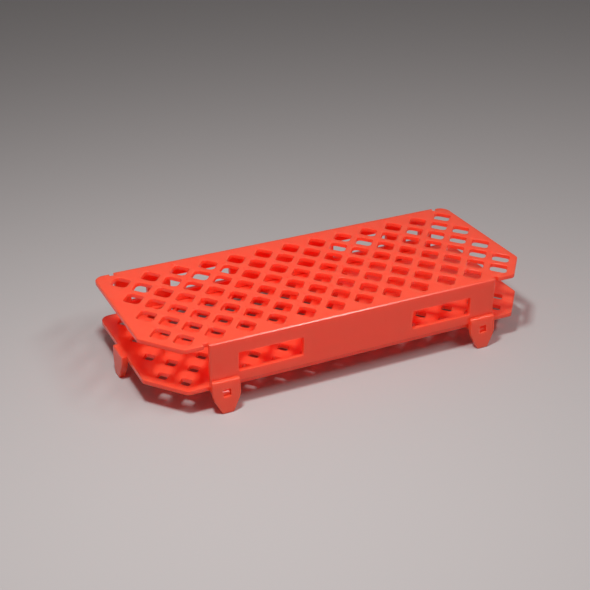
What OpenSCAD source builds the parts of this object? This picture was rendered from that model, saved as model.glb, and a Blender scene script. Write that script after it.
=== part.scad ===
// Rack for small laboratory tubes: a perforated deck that locks onto a perforated base tray.
// It stands on its feet at Z = 0. Length runs along X, the rear side is at +Y, and Z is up.
// All sizes are millimetres.

/* [Wells] */
// Distance between neighbouring wells in one row
pitch = 20; // [19:0.5:21]
// Distance between one row of wells and the next
row_gap = 12.35; // [12:0.05:13]
// Number of rows
rows = 8; // [4:2:8]
// Number of wells in each longer row
long_row = 13; // [11:2:13]
// Width left between two wells
web = 3.9; // [3.5:0.1:5]
// Corner radius of a well
well_r = 2.5; // [1.5:0.1:3]
// Width of a tray hole across its flats
tip_flats = 6.8; // [6:0.1:7.5]

/* [Heights] */
// Overall height of deck and tray, without the index marks
total_h = 46.4; // [44:0.1:60]
// Thickness of the deck
deck_t = 3; // [2.6:0.1:3.5]
// Thickness of the tray
tray_t = 2.9; // [2.5:0.1:3.5]
// Height of the tray's underside above the table
foot_h = 14.4; // [13.8:0.1:16]

/* [Deck] */
// From the first well of a longer row, at its centre, to the deck's left end
left_margin = 14.3; // [12:0.1:16]
// From the last well of a longer row, at its centre, to the deck's right end
right_margin = 10.9; // [10.5:0.1:14]
// From the outer rows of wells to the long edges of the deck, on average
side_margin = 13.2; // [12.5:0.1:16]
// How far the pattern of wells is set towards the front
row_shift = 1.3; // [0:0.1:2]
// How much of the front edge the cut-off corner takes at the left; the cut on the right mirrors it
chamfer = 20; // [16:0.1:24]
// Radius of the two rear corners
rear_r = 7; // [4:0.5:10]
// Width of the notches at the ends of the walls
notch_w = 3; // [2:0.1:4]
// Depth of those notches
notch_d = 2.5; // [1.5:0.1:3]
// How far the tray's long edges lie inside the deck's
tray_inset = 1; // [0.5:0.1:1.2]
// How far the tray's left end lies inside the deck's
tray_end_inset = 1.9; // [0.5:0.1:3]
// How far the tray reaches out past the deck at the right end
tray_reach = 4.4; // [0:0.1:5]

/* [Walls] */
// Thickness of the front and rear walls
wall_t = 3; // [2.4:0.1:3.5]
// How far the walls stand out from the deck's long edges
wall_proud = 1.1; // [0.8:0.1:1.5]
// Width of the solid strip above each foot
strip_w = 18.2; // [17:0.1:20]
// How far the rear wall reaches past the front wall at each end
rear_extra = 21.2; // [18:0.1:22]
// Height of the windows' sills above the tray
sill_h = 7; // [5:0.5:9]
// Height of the windows
window_h = 12.8; // [10:0.1:15]
// Width of the large windows
window_w = 43; // [38:0.5:44]
// Width of the small windows at the ends of the rear wall
end_window_w = 11.3; // [9:0.1:14]

/* [Feet] */
// Width of a foot
foot_w = 18; // [17:0.5:20]
// Width of a foot's tip
tip_w = 7.2; // [6:0.2:9]
// Thickness of a socket foot at its top
leaf_t = 2.4; // [2:0.1:3]
// Thickness of an end foot at its top
end_foot_t = 4.3; // [3.5:0.1:5]
// How far a socket foot leans out towards its tip
leaf_lean = 2.1; // [1.5:0.1:2.5]
// How far an end foot leans out towards its tip
end_lean = 1.3; // [0.5:0.1:2]
// Height of a collar above the tray
collar_h = 4.4; // [3:0.1:5]
// Where the end feet stand, from the middle towards the rear
end_foot_y = 8; // [0:0.5:10]

/* [Locks] */
// Width of the tongues that reach down into the feet
tongue_w = 13; // [11:0.1:13.5]
// How far the tongues reach below the tray
tongue_drop = 5; // [4:0.1:6]
// Width of the wedge on a tongue
boss_w = 4.6; // [4:0.1:6]
// Height of the wedge
boss_h = 4.4; // [3.6:0.1:5]
// How far the wedge stands out from its tongue
boss_out = 2.1; // [1.5:0.1:2.4]
// Height of the wedge's edge above the end of its tongue
boss_rise = 4.1; // [4:0.1:5]
// Play between tongue and socket
fit_gap = 0.25; // [0.2:0.05:0.4]
// Width of the openings in the tray beside the rear sockets
slot_w = 13.2; // [10:0.1:13.6]
// Depth of those openings
slot_d = 7; // [4:0.1:7.4]

/* [Hidden] */
eps = 0.01;

// Deck and tray outlines
left_end = (long_row - 1) / 2 * pitch + left_margin;
right_end = (long_row - 1) / 2 * pitch + right_margin;
half_d = (rows - 1) / 2 * row_gap + side_margin;
corner_r = 4;
tray_left = left_end - tray_end_inset;
tray_right = right_end + tray_reach;
tray_drift = (tray_right - tray_left) / 2;

// Levels
tray_top = foot_h + tray_t;
deck_under = total_h - deck_t;

// Wells and tray holes are rhombi with their edges along the lattice's diagonals
edge_tilt = atan2(row_gap, pitch / 2);
well_flats = pitch * sin(edge_tilt) - web;
tip_r = well_r * 0.5;

// The cut-off corners run along the wells' edges, at these distances from the middle of the rack
deck_cut = (left_end - chamfer) * sin(edge_tilt) + half_d * cos(edge_tilt);
tray_cut = deck_cut - 0.75 * tray_inset;

// Walls
wall_out = half_d + wall_proud;
wall_in = wall_out - wall_t;
strip_x = ((long_row - 1) / 2 - 1.5) * pitch;
front_end = strip_x + strip_w / 2;
rear_end = front_end + rear_extra;
front_window_x = front_end - strip_w - window_w;
rear_shift = 1.5;
end_strip_w = strip_w - 2;
rear_window_x = front_window_x + rear_shift;
end_window_x = rear_window_x + window_w + end_strip_w;

// Tongues of the deck, and the sockets that hold them
tongue_z = foot_h - tongue_drop;
boss_z = tongue_z + boss_rise;
boss_play = 0.25;
leaf_in = wall_out + fit_gap;
collar_r = 0.65 * leaf_t;
cheek_drop = 1;
cheek_root = 2;
slot_web = 3;
slot_y = wall_in - slot_web;

// Taper of the feet
upright_h = 4;
taper_from = foot_h - upright_h;
taper_r = 12;
end_foot_hold = 1.2;
end_foot_in = tray_left - end_foot_hold;
end_foot_r = 0.5;

// Index marks
mark = [1.2, 1.8, 0.2];
mark_at = [-0.8, 10.2];

function row_y(k) = ((rows - 1) / 2 - k) * row_gap - row_shift;
function row_count(k) = k % 2 == 0 ? long_row : long_row - 1;
function well_x(k, i) = (i - (row_count(k) - 1) / 2) * pitch;

module at_wells() {
    for (k = [0 : rows - 1])
        for (i = [0 : row_count(k) - 1])
            translate([well_x(k, i), row_y(k)]) children();
}

// Points along an arc, from angle a to angle b
function arc(centre, r, a, b, steps) =
    [for (i = [0 : steps]) centre + r * [cos(a + (b - a) * i / steps), sin(a + (b - a) * i / steps)]];

// Mirror images of points, in the opposite order
function mirrored(points) = [for (i = [len(points) - 1 : -1 : 0]) [-points[i][0], points[i][1]]];

// The points on the right of an outline, followed by their mirror images on its left
function both_sides(right) = concat(right, mirrored(right));

// Rhombus of the given width across its flats, with round corners
module well_shape(flats, r) {
    cx = (flats / 2 - r) / sin(edge_tilt);
    cy = (flats / 2 - r) / cos(edge_tilt);
    a = 90 - edge_tilt;
    polygon(concat(
        arc([cx, 0], r, -a, a, 4), arc([0, cy], r, a, 180 - a, 4),
        arc([-cx, 0], r, 180 - a, 180 + a, 4), arc([0, -cy], r, 180 + a, 360 - a, 4)
    ));
}

// The right half of a plate's outline: a cut-off corner in front and a round one behind
function plate_corners(end, d, cut) =
    let (
        front = corner_r - d, side = end - corner_r,
        front_x = (cut - corner_r + front * cos(edge_tilt)) / sin(edge_tilt),
        side_y = (side * sin(edge_tilt) - cut + corner_r) / cos(edge_tilt)
    ) concat(
        arc([front_x, front], corner_r, -90, edge_tilt - 90, 4),
        arc([side, side_y], corner_r, edge_tilt - 90, 0, 4),
        arc([end - rear_r, d - rear_r], rear_r, 0, 90, 8)
    );

// Outline of deck or tray: its left and right ends, its half depth, and the cuts' distance and drift
module plate_outline(left, right, d, cut, drift) {
    aside = drift * sin(edge_tilt);
    polygon(concat(plate_corners(right, d, cut + aside), mirrored(plate_corners(left, d, cut - aside))));
}

// One long wall of the deck, drawn for the front side, with its windows cut out
module wall(end_x, windows) {
    difference() {
        translate([-end_x, -wall_out, tray_top]) cube([2 * end_x, wall_t, total_h - tray_top]);
        for (s = [-1, 1])
            for (w = windows)
                translate([s * (w[0] + w[1] / 2) - w[1] / 2, -wall_out - 1, tray_top + sill_h])
                    cube([w[1], wall_t + 2, window_h]);
    }
}

// Tongue below a wall, with the wedge that locks in the foot's window, for a front foot at X = 0
module tongue() {
    translate([-tongue_w / 2, -wall_out, tongue_z]) cube([tongue_w, wall_t, tray_top - tongue_z + eps]);
    translate([-boss_w / 2, 0, 0])
        rotate([90, 0, 90])
            linear_extrude(boss_w)
                polygon([
                    [-wall_out + eps, boss_z - boss_h / 2], [-wall_out - boss_out, boss_z - boss_h / 2],
                    [-wall_out - boss_out, boss_z], [-wall_out + eps, boss_z + boss_h / 2]
                ]);
}

// Puts a front foot's parts at all four places
module at_sockets() {
    for (sx = [-1, 1])
        for (sy = [0, 1])
            mirror([0, sy, 0]) translate([sx * strip_x, 0, 0]) children();
}

module top_deck() {
    color("tomato") {
        difference() {
            union() {
                translate([0, 0, deck_under]) linear_extrude(deck_t) plate_outline(left_end, right_end, half_d, deck_cut, 0);
                wall(front_end, [[front_window_x, window_w]]);
                mirror([0, 1, 0]) wall(rear_end, [[rear_window_x, window_w], [end_window_x, end_window_w]]);
            }
            translate([0, 0, deck_under - 1]) linear_extrude(deck_t + 2) at_wells() well_shape(well_flats, well_r);
            for (s = [-1, 1]) {
                translate([s * (front_end + notch_w / 2) - notch_w / 2, -half_d - 1, deck_under - 1])
                    cube([notch_w, notch_d + 1, deck_t + 2]);
                translate([s * (rear_end + notch_w / 2) - notch_w / 2, half_d - notch_d, deck_under - 1])
                    cube([notch_w, notch_d + 1, deck_t + 2]);
            }
        }
        at_sockets() tongue();
        translate([mark_at[0], mark_at[1], total_h - eps])
            at_wells() translate([-mark[0] / 2, -mark[1] / 2, 0]) cube([mark[0], mark[1], mark[2] + eps]);
    }
}

// Front view of a foot: upright sides, then a round shoulder and a straight taper to the tip
module foot_front(top) {
    slope = atan2((foot_w - tip_w) / 2, taper_from);
    bend_z = taper_from + taper_r * tan(slope / 2);
    polygon(both_sides(concat(
        [[tip_w / 2, 0]],
        arc([foot_w / 2 - taper_r, bend_z], taper_r, -slope, 0, 5),
        [[foot_w / 2, top]]
    )));
}

// Foot that hangs down along the plane Y = 0, leans out towards -Y and has a rounded outer top edge
module foot(top, top_t, tip_t, drift, shoulder_r) {
    intersection() {
        rotate([90, 0, 0]) linear_extrude(tip_t + 1) foot_front(top);
        rotate([90, 0, 90])
            translate([0, 0, -foot_w])
                linear_extrude(2 * foot_w)
                    polygon(concat(
                        [[-drift, 0], [0, top]],
                        arc([shoulder_r - top_t, top - shoulder_r], shoulder_r, 90, 180, 5),
                        [[-tip_t, 0]]
                    ));
    }
}

// Socket foot: it hangs outside the tray's edge, and its two cheeks join it to the tray
module socket_foot() {
    difference() {
        translate([0, -leaf_in, 0])
            foot(tray_top + collar_h, leaf_t, leaf_t + leaf_lean, 0, collar_r);
        translate([-boss_w / 2 - boss_play, -leaf_in - leaf_t - leaf_lean - 1, boss_z - boss_h / 2 - boss_play])
            cube([boss_w + 2 * boss_play, leaf_t + leaf_lean + 2, boss_h + 2 * boss_play]);
    }
    cheek_in = tongue_w / 2 + fit_gap;
    for (s = [0, 1])
        mirror([s, 0, 0])
            translate([cheek_in, -leaf_in - eps, foot_h - cheek_drop])
                cube([foot_w / 2 - cheek_in, leaf_in - wall_in + cheek_root, tray_t + cheek_drop]);
}

module base_tray() {
    color("orangered") {
        difference() {
            translate([0, 0, foot_h])
                linear_extrude(tray_t)
                    plate_outline(tray_left, tray_right, half_d - tray_inset, tray_cut, tray_drift);
            translate([0, 0, foot_h - 1]) linear_extrude(tray_t + 2) at_wells() well_shape(tip_flats, tip_r);
            at_sockets()
                translate([-tongue_w / 2 - fit_gap, -leaf_in, foot_h - 1])
                    cube([tongue_w + 2 * fit_gap, leaf_in - wall_in + fit_gap, tray_t + 2]);
            for (s = [-1, 1])
                translate([s * strip_x - slot_w / 2, slot_y - slot_d, foot_h - 1])
                    cube([slot_w, slot_d, tray_t + 2]);
        }
        at_sockets() socket_foot();
        for (s = [0, 1])
            mirror([s, 0, 0])
                translate([end_foot_in, end_foot_y, 0])
                    rotate([0, 0, 90])
                        foot(tray_top, end_foot_t, end_foot_t + end_lean, end_lean, end_foot_r);
    }
}

top_deck();
base_tray();
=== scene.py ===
import math

import bmesh
import bpy
from mathutils import Matrix, Vector


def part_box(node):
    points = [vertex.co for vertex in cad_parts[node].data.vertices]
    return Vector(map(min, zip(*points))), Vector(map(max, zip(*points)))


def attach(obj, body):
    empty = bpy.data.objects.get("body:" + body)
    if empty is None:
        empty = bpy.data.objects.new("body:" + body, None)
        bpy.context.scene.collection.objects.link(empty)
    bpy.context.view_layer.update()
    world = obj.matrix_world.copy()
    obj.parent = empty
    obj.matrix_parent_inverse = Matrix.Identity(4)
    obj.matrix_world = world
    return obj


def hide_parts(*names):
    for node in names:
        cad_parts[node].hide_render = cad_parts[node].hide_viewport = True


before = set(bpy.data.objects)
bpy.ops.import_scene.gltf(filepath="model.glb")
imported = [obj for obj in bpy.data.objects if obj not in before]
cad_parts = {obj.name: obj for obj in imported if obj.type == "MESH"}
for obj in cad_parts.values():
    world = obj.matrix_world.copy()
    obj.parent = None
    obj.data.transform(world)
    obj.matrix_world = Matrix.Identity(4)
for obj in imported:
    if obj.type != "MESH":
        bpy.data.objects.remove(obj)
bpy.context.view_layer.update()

# ---------------------------------------------------------------------------------------------
# Top deck plate
# The plate that carries the tubes: injection-moulded polypropylene with eight staggered rows of
# diamond wells. The mould rounds every rim and edge a little, which softens the light on them.
# ---------------------------------------------------------------------------------------------
MM = 0.001

# The deck's box reaches from wedge to wedge in Y and up to the raised characters in Z.
deck_low, deck_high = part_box("top_deck")
MARK_HEIGHT = 0.2 * MM
DECK_TOP = deck_high.z - MARK_HEIGHT
DECK_THICK = 3.0 * MM
WEDGE_OUT = 2.1 * MM
WALL_OUT = deck_high.y - WEDGE_OUT
WALL_PROUD = 1.1 * MM
DECK_LEFT = -deck_low.x
DECK_RIGHT = deck_high.x
DECK_HALF_DEPTH = WALL_OUT - WALL_PROUD

# WEB is the plastic between two wells. The round rims open wider than the wells' sides, which
# stand in by WELL_EASE to make up for it.
WELL_PITCH = 20 * MM
ROW_GAP = 12.35 * MM
ROW_SHIFT = 1.3 * MM
ROWS = 8
LONG_ROW = 13
WEB = 3.9 * MM
WELL_CORNER = 2.5 * MM
RIM = 0.6 * MM
WELL_EASE = 0.3 * MM

# The plate laps into the walls, and a notch parts it from each wall's end.
FRONT_WALL_END = 99.1 * MM
REAR_WALL_END = FRONT_WALL_END + 21.2 * MM
WALL_LAP = 1 * MM
NOTCH_WIDTH = 3 * MM
NOTCH_DEPTH = 2.5 * MM
CHAMFER = 20 * MM
CUT_CORNER = 4 * MM
REAR_CORNER = 7 * MM

# The cut-off front corners run parallel to the wells' sides, at this distance from the middle.
edge_tilt = math.atan2(ROW_GAP, WELL_PITCH / 2)
well_flats = WELL_PITCH * math.sin(edge_tilt) - WEB
deck_cut = (DECK_LEFT - CHAMFER) * math.sin(edge_tilt) + DECK_HALF_DEPTH * math.cos(edge_tilt)


def well_centres():
    """Place in its row, and X and Y of each well, from the rear left."""
    for row in range(ROWS):
        count = LONG_ROW - row % 2
        y = ((ROWS - 1) / 2 - row) * ROW_GAP - ROW_SHIFT
        for place in range(count):
            yield place, (place - (count - 1) / 2) * WELL_PITCH, y


def arc(x, y, radius, start, end, steps):
    """Points along an arc round (x, y), between two angles in degrees."""
    angles = [math.radians(start + (end - start) * i / steps) for i in range(steps + 1)]
    return [(x + radius * math.cos(a), y + radius * math.sin(a)) for a in angles]


def diamond(x, y, flats, corner):
    """Outline of a diamond with round corners, of that width across its flats."""
    reach_x = (flats / 2 - corner) / math.sin(edge_tilt)
    reach_y = (flats / 2 - corner) / math.cos(edge_tilt)
    turn = 90 - math.degrees(edge_tilt)
    steps = 5
    return (
        arc(x + reach_x, y, corner, -turn, turn, steps)
        + arc(x, y + reach_y, corner, turn, 180 - turn, steps)
        + arc(x - reach_x, y, corner, 180 - turn, 180 + turn, steps)
        + arc(x, y - reach_y, corner, 180 + turn, 360 - turn, steps)
    )


def plate_corners(end, half_depth, cut):
    """Right half of a plate's outline: a corner cut parallel to the wells, a round rear corner."""
    front_y = CUT_CORNER - half_depth
    front_x = (cut - CUT_CORNER + front_y * math.cos(edge_tilt)) / math.sin(edge_tilt)
    side_x = end - CUT_CORNER
    side_y = (side_x * math.sin(edge_tilt) - cut + CUT_CORNER) / math.cos(edge_tilt)
    turn = math.degrees(edge_tilt) - 90
    front = arc(front_x, front_y, CUT_CORNER, -90, turn, 6)
    side = arc(side_x, side_y, CUT_CORNER, turn, 0, 6)
    rear = arc(end - REAR_CORNER, half_depth - REAR_CORNER, REAR_CORNER, 0, 90, 12)
    return front + side + rear


def mirrored(points):
    """Points mirrored from right to left, in the opposite order."""
    return [(-x, y) for x, y in reversed(points)]


def deck_half(end):
    """Right half of the deck's outline: notches at the walls' ends and a lap into the walls."""
    notch_y = DECK_HALF_DEPTH - NOTCH_DEPTH
    lap_y = WALL_OUT - WALL_LAP
    front, front_notch = FRONT_WALL_END - WALL_LAP, FRONT_WALL_END + NOTCH_WIDTH
    rear, rear_notch = REAR_WALL_END - WALL_LAP, REAR_WALL_END + NOTCH_WIDTH
    return (
        [(front, -lap_y), (front, -notch_y)]
        + [(front_notch, -notch_y), (front_notch, -DECK_HALF_DEPTH)]
        + plate_corners(end, DECK_HALF_DEPTH, deck_cut)
        + [(rear_notch, DECK_HALF_DEPTH), (rear_notch, notch_y)]
        + [(rear, notch_y), (rear, lap_y)]
    )


def piece(name, data):
    """A new object in the scene with that mesh, curve, lamp or camera."""
    made = bpy.data.objects.new(name, data)
    bpy.context.scene.collection.objects.link(made)
    return made


def made_mesh(source):
    """Mesh of an object as its curve or its modifiers make it."""
    graph = bpy.context.evaluated_depsgraph_get()
    return bpy.data.meshes.new_from_object(source.evaluated_get(graph))


def moulding(name, loops, thickness, rim, steps):
    """Flat moulding round Z = 0 over an outline and its holes. Its edges are eased by rim, with
    a flat chamfer at 0 steps and a rounder edge with each step more."""
    curve = bpy.data.curves.new(name, "CURVE")
    curve.dimensions = "2D"
    curve.fill_mode = "BOTH"
    curve.extrude = thickness / 2 - rim
    curve.bevel_depth = rim
    curve.bevel_resolution = steps
    curve.offset = -rim
    for loop in loops:
        spline = curve.splines.new("POLY")
        spline.points.add(len(loop) - 1)
        spline.points.foreach_set("co", [value for x, y in loop for value in (x, y, 0, 1)])
        spline.use_cyclic_u = True
    shaper = piece(name, curve)
    mesh = made_mesh(shaper)
    bpy.data.objects.remove(shaper)
    shape = bmesh.new()
    shape.from_mesh(mesh)
    bmesh.ops.remove_doubles(shape, verts=shape.verts, dist=MM / 1000)
    bmesh.ops.recalc_face_normals(shape, faces=shape.faces)
    shape.to_mesh(mesh)
    shape.free()
    return mesh


deck_loops = [deck_half(DECK_RIGHT) + mirrored(deck_half(DECK_LEFT))]
for place, x, y in well_centres():
    deck_loops.append(diamond(x, y, well_flats - 2 * WELL_EASE, WELL_CORNER))
deck_mesh = moulding("deck", deck_loops, DECK_THICK, RIM, 3)
deck_mesh.transform(Matrix.Translation((0, 0, DECK_TOP - DECK_THICK / 2)))
deck = piece("deck", deck_mesh)

# Polypropylene, coloured through. The steel mould was polished, so the skin is glossy with a faint
# ripple, and the flow of the melt leaves slow changes in colour and gloss. The resin scatters light
# inside and lets about a quarter of the red through a plate.
RED = "#FD573D"
RED_DEEP = "#FC5238"
RED_THROUGH = "#BC2014"
GLOSSIEST = 0.16
DULLEST = 0.22
FLOW_MM = 22
RIPPLE_MM = 6
RIPPLE_HEIGHT = 0.3 * MM
RIPPLE_SHARE = 0.08
SCATTER_DEPTH = (6 * MM, 1.6 * MM, 1.2 * MM)
PLASTIC_IOR = 1.49


def linear(code):
    """Linear colour with alpha from an sRGB hex code."""
    values = [int(code[i : i + 2], 16) / 255 for i in (1, 3, 5)]
    return [v / 12.92 if v <= 0.04045 else ((v + 0.055) / 1.055) ** 2.4 for v in values] + [1]


def node(tree, kind, settings=None, **links):
    """Adds a node with its settings; each link names an input and gives a value or an output."""
    made = tree.nodes.new(kind)
    for name, value in (settings or {}).items():
        setattr(made, name, value)
    for name, value in links.items():
        socket = made.inputs[name.replace("_", " ")]
        if isinstance(value, bpy.types.NodeSocket):
            tree.links.new(value, socket)
        else:
            socket.default_value = value
    return made


def moulded_polypropylene(name):
    """Red-orange polypropylene with faint flow marks in its colour and a ripple in its gloss."""
    material = bpy.data.materials.new(name)
    material.use_nodes = True
    tree = material.node_tree
    shader = tree.nodes["Principled BSDF"]
    shader.inputs["IOR"].default_value = PLASTIC_IOR
    shader.inputs["Subsurface Weight"].default_value = 1.0
    shader.inputs["Subsurface Radius"].default_value = SCATTER_DEPTH
    shader.inputs["Subsurface Scale"].default_value = 1.0
    where = node(tree, "ShaderNodeTexCoord").outputs["Object"]

    flow = node(tree, "ShaderNodeTexNoise", Vector=where, Scale=1000 / FLOW_MM, Detail=3.0)
    colour = node(tree, "ShaderNodeMix", {"data_type": "RGBA"}, Factor=flow.outputs["Fac"])
    first, second = [socket for socket in colour.inputs if socket.type == "RGBA"]
    first.default_value = linear(RED)
    second.default_value = linear(RED_DEEP)
    mixed = next(socket for socket in colour.outputs if socket.type == "RGBA")
    tree.links.new(mixed, shader.inputs["Base Color"])
    rough = node(
        tree, "ShaderNodeMapRange", Value=flow.outputs["Fac"], To_Min=GLOSSIEST, To_Max=DULLEST
    )
    tree.links.new(rough.outputs["Result"], shader.inputs["Roughness"])

    ripple = node(tree, "ShaderNodeTexNoise", Vector=where, Scale=1000 / RIPPLE_MM, Detail=2.0)
    bump = node(
        tree, "ShaderNodeBump",
        Height=ripple.outputs["Fac"], Strength=RIPPLE_SHARE, Distance=RIPPLE_HEIGHT,
    )
    tree.links.new(bump.outputs["Normal"], shader.inputs["Normal"])

    # A lamp's rays pass a plate with only the red that is left, which tints the shadows.
    ray = node(tree, "ShaderNodeLightPath")
    let_through = node(tree, "ShaderNodeBsdfTransparent", Color=linear(RED_THROUGH))
    blend = node(tree, "ShaderNodeMixShader", Fac=ray.outputs["Is Shadow Ray"])
    tree.links.new(shader.outputs[0], blend.inputs[1])
    tree.links.new(let_through.outputs[0], blend.inputs[2])
    tree.links.new(blend.outputs[0], tree.nodes["Material Output"].inputs["Surface"])
    return material


red_plastic = moulded_polypropylene("moulded_polypropylene")

# ---------------------------------------------------------------------------------------------
# Walls of the deck
# Two thin walls stand under the deck's long edges, moulded in one with it. Large windows show the
# tubes, and four tongues with a wedge lock in the feet. Their outer edges are small flat chamfers.
# ---------------------------------------------------------------------------------------------
WALL_THICK = 3 * MM
WALL_CHAMFER = 0.6 * MM
FOOT_HEIGHT = 14.4 * MM
TRAY_THICK = 2.9 * MM
TRAY_TOP = FOOT_HEIGHT + TRAY_THICK
SOCKET_X = 90 * MM
TONGUE_WIDTH = 13 * MM
TONGUE_END = 9.4 * MM

# A strip of wall is left outside each large window, over the socket. The rear wall is longer, so
# it has a small window more at each end, and its large windows sit further out by REAR_SHIFT.
SILL = 7 * MM
WINDOW_HEIGHT = 12.8 * MM
WINDOW_WIDTH = 43 * MM
WINDOW_CORNER = 0.8 * MM
END_WINDOW_WIDTH = 11.3 * MM
STRIP_WIDTH = 18.2 * MM
END_STRIP_WIDTH = 16.2 * MM
REAR_SHIFT = 1.5 * MM

WEDGE_WIDTH = 4.6 * MM
WEDGE_HEIGHT = 4.4 * MM
WEDGE_Z = 13.5 * MM
WEDGE_ROOT = 0.5 * MM

# A cutting shape reaches PAST a face. HAIR keeps two faces out of one plane where shapes join.
# Faces that meet at more than CRISP_EDGE keep a crisp edge in their shading.
PAST = 1 * MM
HAIR = 0.01 * MM
CRISP_EDGE = math.radians(35)
stand_up = Matrix.Rotation(math.radians(90), 4, "X")


def combine(target, mesh, operation):
    """Joins a closed mesh to a piece, or cuts it away, and keeps the piece closed."""
    other = piece("other", mesh)
    modifier = target.modifiers.new("combine", "BOOLEAN")
    modifier.solver = "MANIFOLD"
    modifier.operation = operation
    modifier.object = other
    result = made_mesh(target)
    target.modifiers.clear()
    target.data = result
    bpy.data.objects.remove(other)


def closed_mesh(name, shape):
    """Mesh of a closed shape with its faces turned outwards."""
    bmesh.ops.recalc_face_normals(shape, faces=shape.faces)
    mesh = bpy.data.meshes.new(name)
    shape.to_mesh(mesh)
    shape.free()
    return mesh


def prism(outline, length):
    """Closed prism over an outline in XY, from Z = 0 up to its length."""
    shape = bmesh.new()
    face = shape.faces.new([shape.verts.new((x, y, 0)) for x, y in outline])
    grown = bmesh.ops.extrude_face_region(shape, geom=[face])["geom"]
    top = [part for part in grown if isinstance(part, bmesh.types.BMVert)]
    bmesh.ops.translate(shape, vec=(0, 0, length), verts=top)
    return closed_mesh("prism", shape)


def rectangle(left, right, low, high, corner):
    """Rectangle with round corners."""
    return (
        arc(right - corner, low + corner, corner, -90, 0, 3)
        + arc(right - corner, high - corner, corner, 0, 90, 3)
        + arc(left + corner, high - corner, corner, 90, 180, 3)
        + arc(left + corner, low + corner, corner, 180, 270, 3)
    )


def wall(end, middle_y):
    """One wall with its tongues, upright, with its middle plane at that Y."""
    tongue_left, tongue_right = SOCKET_X - TONGUE_WIDTH / 2, SOCKET_X + TONGUE_WIDTH / 2
    right = [
        (tongue_left, TRAY_TOP), (tongue_left, TONGUE_END),
        (tongue_right, TONGUE_END), (tongue_right, TRAY_TOP),
        (end, TRAY_TOP), (end, DECK_TOP - HAIR),
    ]
    mesh = moulding("wall", [right + mirrored(right)], WALL_THICK, WALL_CHAMFER, 0)
    mesh.transform(stand_up)
    mesh.transform(Matrix.Translation((0, middle_y, 0)))
    return mesh


def four_sockets():
    """Turns and moves a front piece at X = 0 to each socket."""
    for x in (-SOCKET_X, SOCKET_X):
        yield Matrix.Translation((x, 0, 0))
        yield Matrix.Translation((x, 0, 0)) @ Matrix.Rotation(math.pi, 4, "Z")


def finish(made):
    """Gives a piece the red plastic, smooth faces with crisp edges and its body."""
    made.data.materials.clear()
    made.data.materials.append(red_plastic)
    made.data.shade_smooth()
    made.data.set_sharp_from_angle(angle=CRISP_EDGE)
    weighted = made.modifiers.new("even_shading", "WEIGHTED_NORMAL")
    weighted.keep_sharp = True
    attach(made, "root")


combine(deck, wall(FRONT_WALL_END, WALL_THICK / 2 - WALL_OUT), "UNION")
combine(deck, wall(REAR_WALL_END, WALL_OUT - WALL_THICK / 2), "UNION")

front_window = FRONT_WALL_END - STRIP_WIDTH - WINDOW_WIDTH
rear_window = front_window + REAR_SHIFT
end_window = rear_window + WINDOW_WIDTH + END_STRIP_WIDTH
sill_z = TRAY_TOP + SILL
for left, width, back_y in (
    (front_window, WINDOW_WIDTH, WALL_THICK - WALL_OUT),
    (rear_window, WINDOW_WIDTH, WALL_OUT),
    (end_window, END_WINDOW_WIDTH, WALL_OUT),
):
    for x in (left, -left - width):
        outline = rectangle(x, x + width, sill_z, sill_z + WINDOW_HEIGHT, WINDOW_CORNER)
        window = prism(outline, WALL_THICK + 2 * PAST)
        window.transform(Matrix.Translation((0, back_y + PAST, 0)) @ stand_up)
        combine(deck, window, "DIFFERENCE")

wedge_low, wedge_high = WEDGE_Z - WEDGE_HEIGHT / 2, WEDGE_Z + WEDGE_HEIGHT / 2
wedge_side = [
    (WEDGE_ROOT - WALL_OUT, wedge_low), (-WALL_OUT - WEDGE_OUT, wedge_low),
    (-WALL_OUT - WEDGE_OUT, WEDGE_Z), (-WALL_OUT, wedge_high), (WEDGE_ROOT - WALL_OUT, wedge_high),
]
side_to_front = Matrix(((0, 0, 1, -WEDGE_WIDTH / 2), (1, 0, 0, 0), (0, 1, 0, 0), (0, 0, 0, 1)))
for to_socket in four_sockets():
    wedge = prism(wedge_side, WEDGE_WIDTH)
    wedge.transform(to_socket @ side_to_front)
    combine(deck, wedge, "UNION")

finish(deck)
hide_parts("top_deck")

# ---------------------------------------------------------------------------------------------
# Base tray
# A second moulding of the same plastic. Its small diamond holes sit under the wells and take the
# tips of the tubes. Two plain openings lie beside the rear sockets.
# ---------------------------------------------------------------------------------------------
TRAY_INSET = 1 * MM
TRAY_CUT_INSET = 0.75 * MM
TRAY_REACH = 4.4 * MM
TRAY_END_INSET = 1.9 * MM
TRAY_RIM = 0.15 * MM
TIP_FLATS = 6.8 * MM
TIP_CORNER = 1.25 * MM
OPENING_WIDTH = 13.2 * MM
OPENING_DEPTH = 7 * MM
OPENING_GAP = 3 * MM
OPENING_CORNER = 0.8 * MM

tray_half_depth = DECK_HALF_DEPTH - TRAY_INSET
tray_left = DECK_LEFT - TRAY_END_INSET
tray_right = DECK_RIGHT + TRAY_REACH
tray_cut = deck_cut - TRAY_CUT_INSET
tray_aside = (tray_right - tray_left) / 2 * math.sin(edge_tilt)
tray_loops = [
    plate_corners(tray_right, tray_half_depth, tray_cut + tray_aside)
    + mirrored(plate_corners(tray_left, tray_half_depth, tray_cut - tray_aside))
]
for place, x, y in well_centres():
    tray_loops.append(diamond(x, y, TIP_FLATS, TIP_CORNER))

wall_in = WALL_OUT - WALL_THICK
opening_y = wall_in - OPENING_GAP
for x in (-SOCKET_X, SOCKET_X):
    left, right = x - OPENING_WIDTH / 2, x + OPENING_WIDTH / 2
    tray_loops.append(
        rectangle(left, right, opening_y - OPENING_DEPTH, opening_y, OPENING_CORNER)
    )
tray_mesh = moulding("tray", tray_loops, TRAY_THICK, TRAY_RIM, 2)
tray_mesh.transform(Matrix.Translation((0, 0, FOOT_HEIGHT + TRAY_THICK / 2)))
tray = piece("tray", tray_mesh)

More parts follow.
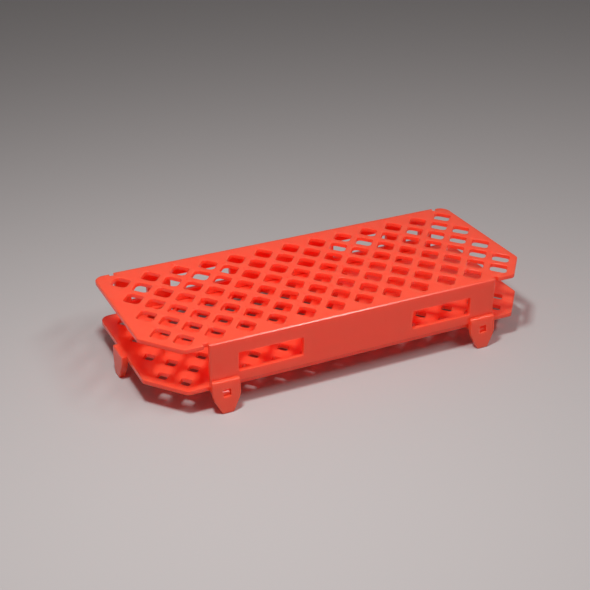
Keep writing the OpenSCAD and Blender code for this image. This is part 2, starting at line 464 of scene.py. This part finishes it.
# ---------------------------------------------------------------------------------------------
# Feet
# Four socket feet hang outside the tray's long edges and two end feet under its short edges, all
# moulded with it. Each tapers to a flat tip and leans outwards. In a socket, the deck's tongue
# goes down a pocket between two cheeks, and its wedge locks in the foot's square window.
# ---------------------------------------------------------------------------------------------
FOOT_WIDTH = 18 * MM
TIP_WIDTH = 7.2 * MM
TAPER_FROM = FOOT_HEIGHT - 4 * MM
TAPER_RADIUS = 12 * MM
FOOT_EDGE = 0.7 * MM

# A socket foot is a leaf outside the wall, with PLAY between the two, that ends in a collar above
# the tray. Its latch is the window for the wedge.
LEAF_THICK = 2.4 * MM
LEAF_LEAN = 2.1 * MM
COLLAR = 4.4 * MM
COLLAR_ROUND = 0.65 * LEAF_THICK
PLAY = 0.25 * MM
LATCH_CORNER = 0.4 * MM
LATCH_LENGTH = 8 * MM

# A cheek is sunk into the leaf, stands back from the foot's side and stays below the tray's top.
CHEEK_SUNK = 0.3 * MM
CHEEK_SHY = 0.2 * MM
CHEEK_LOW = 0.05 * MM
CHEEK_BACK = 2 * MM

# An end foot holds the tray from END_HOLD inside its end.
END_THICK = 4.3 * MM
END_LEAN = 1.3 * MM
END_ROUND = 0.8 * MM
END_HOLD = 1.2 * MM
END_FOOT_Y = 8 * MM

taper = math.atan2((FOOT_WIDTH - TIP_WIDTH) / 2, TAPER_FROM)
bend_z = TAPER_FROM + TAPER_RADIUS * math.tan(taper / 2)
bend_low = bend_z - TAPER_RADIUS * math.sin(taper)


def half_width(z):
    """Half the width of a foot at a height: straight taper, round shoulder, then upright."""
    if z <= bend_low:
        return TIP_WIDTH / 2 + z * math.tan(taper)
    if z < bend_z:
        return FOOT_WIDTH / 2 - TAPER_RADIUS + math.sqrt(TAPER_RADIUS**2 - (bend_z - z) ** 2)
    return FOOT_WIDTH / 2


def foot_rings(top, top_round):
    """Height, and insets of the outer face and of the sides, for each ring of a foot."""
    for turn in (0, 0.4, 0.8, 1.2, math.pi / 2):
        inset = FOOT_EDGE * (1 - math.sin(turn))
        yield FOOT_EDGE * (1 - math.cos(turn)), inset, inset
    count = 24
    for i in range(1, count):
        yield FOOT_EDGE + (top - top_round - FOOT_EDGE) * i / count, 0, 0
    for degrees in range(0, 91, 15):
        turn = math.radians(degrees)
        share = 1 - math.cos(turn)
        yield top - top_round + top_round * math.sin(turn), top_round * share, FOOT_EDGE * share


def foot(top, thick, outer_lean, inner_lean, top_round):
    """Foot behind the plane Y = 0, lofted from round-cornered rings, with a round tip and top."""
    shape = bmesh.new()
    loops = []
    for z, outer_inset, inset in foot_rings(top, top_round):
        rise = z / top
        outer = thick + outer_lean * (1 - rise) - outer_inset
        inner = inner_lean * (1 - rise) + (inset if z < bend_low else 0)
        half = half_width(z) - inset
        corner = min(FOOT_EDGE, 0.45 * (outer - inner))  # two corners fit in the thickness
        ring = rectangle(-half, half, inner, outer, corner)
        loops.append([shape.verts.new((x, -y, z)) for x, y in ring])
    for lower, upper in zip(loops, loops[1:]):
        for i in range(len(lower)):
            j = (i + 1) % len(lower)
            shape.faces.new((lower[i], lower[j], upper[j], upper[i]))
    shape.faces.new(loops[0])
    shape.faces.new(loops[-1])
    return closed_mesh("foot", shape)


def block(left, right, low, high, bottom, height):
    """Sharp-edged block between two X and two Y values, from a Z value up."""
    mesh = prism([(left, low), (right, low), (right, high), (left, high)], height)
    mesh.transform(Matrix.Translation((0, 0, bottom)))
    return mesh


leaf_y = -WALL_OUT - PLAY
cheek_in = TONGUE_WIDTH / 2 + PLAY
pocket = block(
    -cheek_in, cheek_in, leaf_y - HAIR, PLAY - wall_in, FOOT_HEIGHT - PAST, TRAY_THICK + 2 * PAST
)
socket_foot = foot(TRAY_TOP + COLLAR, LEAF_THICK, LEAF_LEAN, 0, COLLAR_ROUND)
socket_foot.transform(Matrix.Translation((0, leaf_y, 0)))
cheek = block(
    cheek_in, FOOT_WIDTH / 2 - CHEEK_SHY, leaf_y - CHEEK_SUNK, CHEEK_BACK - wall_in,
    FOOT_HEIGHT - PAST, TRAY_THICK + PAST - CHEEK_LOW,
)
far_cheek = cheek.copy()
far_cheek.transform(Matrix.Scale(-1, 4, (1, 0, 0)))
far_cheek.flip_normals()
latch_x, latch_low = WEDGE_WIDTH / 2 + PLAY, wedge_low - PLAY
latch = prism(
    rectangle(-latch_x, latch_x, latch_low, latch_low + WEDGE_HEIGHT + 2 * PLAY, LATCH_CORNER),
    LATCH_LENGTH,
)
latch.transform(Matrix.Translation((0, leaf_y + PAST, 0)) @ stand_up)

for to_socket in four_sockets():
    for mesh, operation in (
        (pocket, "DIFFERENCE"), (socket_foot, "UNION"),
        (cheek, "UNION"), (far_cheek, "UNION"), (latch, "DIFFERENCE"),
    ):
        part = mesh.copy()
        part.transform(to_socket)
        combine(tray, part, operation)

end_foot = foot(TRAY_TOP - 2 * HAIR, END_THICK, END_LEAN, END_LEAN, END_ROUND)
for side in (-1, 1):
    to_end = Matrix.Translation((side * (tray_left - END_HOLD), END_FOOT_Y, 0))
    part = end_foot.copy()
    part.transform(to_end @ Matrix.Rotation(side * math.pi / 2, 4, "Z"))
    combine(tray, part, "UNION")

finish(tray)
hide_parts("base_tray")

# ---------------------------------------------------------------------------------------------
# Index characters
# Small raised numbers behind the wells count the places in each row. They are cut into the mould,
# so they come out in the deck's own plastic and stand a fifth of a millimetre proud.
# ---------------------------------------------------------------------------------------------
MARK_SIZE = 2.4 * MM
MARK_ASIDE = 0.8 * MM
MARK_BEHIND = 9.2 * MM

marks = []
for place, x, y in well_centres():
    text = bpy.data.curves.new("index", "FONT")
    text.body = str(place + 1)
    text.size = MARK_SIZE
    text.align_x = "CENTER"
    text.extrude = MARK_HEIGHT / 2
    text.resolution_u = 3
    mark = piece("index", text)
    mark.location = (x - MARK_ASIDE, y + MARK_BEHIND, DECK_TOP + MARK_HEIGHT / 2 - HAIR)
    marks.append(mark)
bpy.context.view_layer.update()
with bpy.context.temp_override(
    active_object=marks[0], selected_editable_objects=marks, selected_objects=marks
):
    bpy.ops.object.convert(target="MESH")
    bpy.ops.object.join()
index_marks = bpy.context.scene.objects[marks[0].name]
index_marks.name = "index_marks"
finish(index_marks)

# ---------------------------------------------------------------------------------------------
# Table, light and camera
# The rack stands on a plain table covered with matt pale grey paper. One small lamp shines from
# above its left end and a long narrow panel from the right, and the room adds a little light.
# ---------------------------------------------------------------------------------------------
TABLE_GREY = "#B2ABAA"
TABLE_ROUGHNESS = 0.75
ROOM_LIGHT = 0.15
LENS_MM = 73.28
CAMERA_PLACE = (-0.3139, -0.6239, 0.3959)
CAMERA_TURN = (1.0881, 0, -0.4448)

table_mesh = bpy.data.meshes.new("table")
table_mesh.from_pydata([(-4, -3, 0), (4, -3, 0), (4, 6, 0), (-4, 6, 0)], [], [(0, 1, 2, 3)])
table = piece("table", table_mesh)
paper = bpy.data.materials.new("table_paper")
paper.use_nodes = True
paper_shader = paper.node_tree.nodes["Principled BSDF"]
paper_shader.inputs["Base Color"].default_value = linear(TABLE_GREY)
paper_shader.inputs["Roughness"].default_value = TABLE_ROUGHNESS
table_mesh.materials.append(paper)


def soft_light(name, place, aim, width, height, watts):
    """Area light at a place, turned to its aim."""
    lamp = bpy.data.lights.new(name, "AREA")
    lamp.shape = "RECTANGLE"
    lamp.size = width
    lamp.size_y = height
    lamp.energy = watts
    made = piece(name, lamp)
    made.location = place
    made.rotation_euler = (Vector(aim) - Vector(place)).to_track_quat("-Z", "Y").to_euler()


soft_light(
    "lamp", place=(-0.18, -0.155, 0.63), aim=(-0.1, -0.05, 0), width=0.09, height=0.11, watts=3.4
)
soft_light(
    "panel", place=(0.4, -0.48, 0.8), aim=(0, 0, 0.03), width=0.6, height=0.09, watts=3.1
)
world = bpy.data.worlds.new("room")
world.use_nodes = True
world.node_tree.nodes["Background"].inputs["Color"].default_value = linear("#FFFFFF")
world.node_tree.nodes["Background"].inputs["Strength"].default_value = ROOM_LIGHT
bpy.context.scene.world = world

# Light goes back and forth many times between the red faces, and each turn makes them redder.
bpy.context.scene.cycles.max_bounces = 24
bpy.context.scene.cycles.diffuse_bounces = 16

camera_data = bpy.data.cameras.new("camera")
camera_data.lens = LENS_MM
camera_data.sensor_width = 36
camera_data.clip_end = 20
camera = piece("camera", camera_data)
camera.location = CAMERA_PLACE
camera.rotation_euler = CAMERA_TURN
bpy.context.scene.camera = camera
bpy.context.scene.view_settings.view_transform = "Standard"
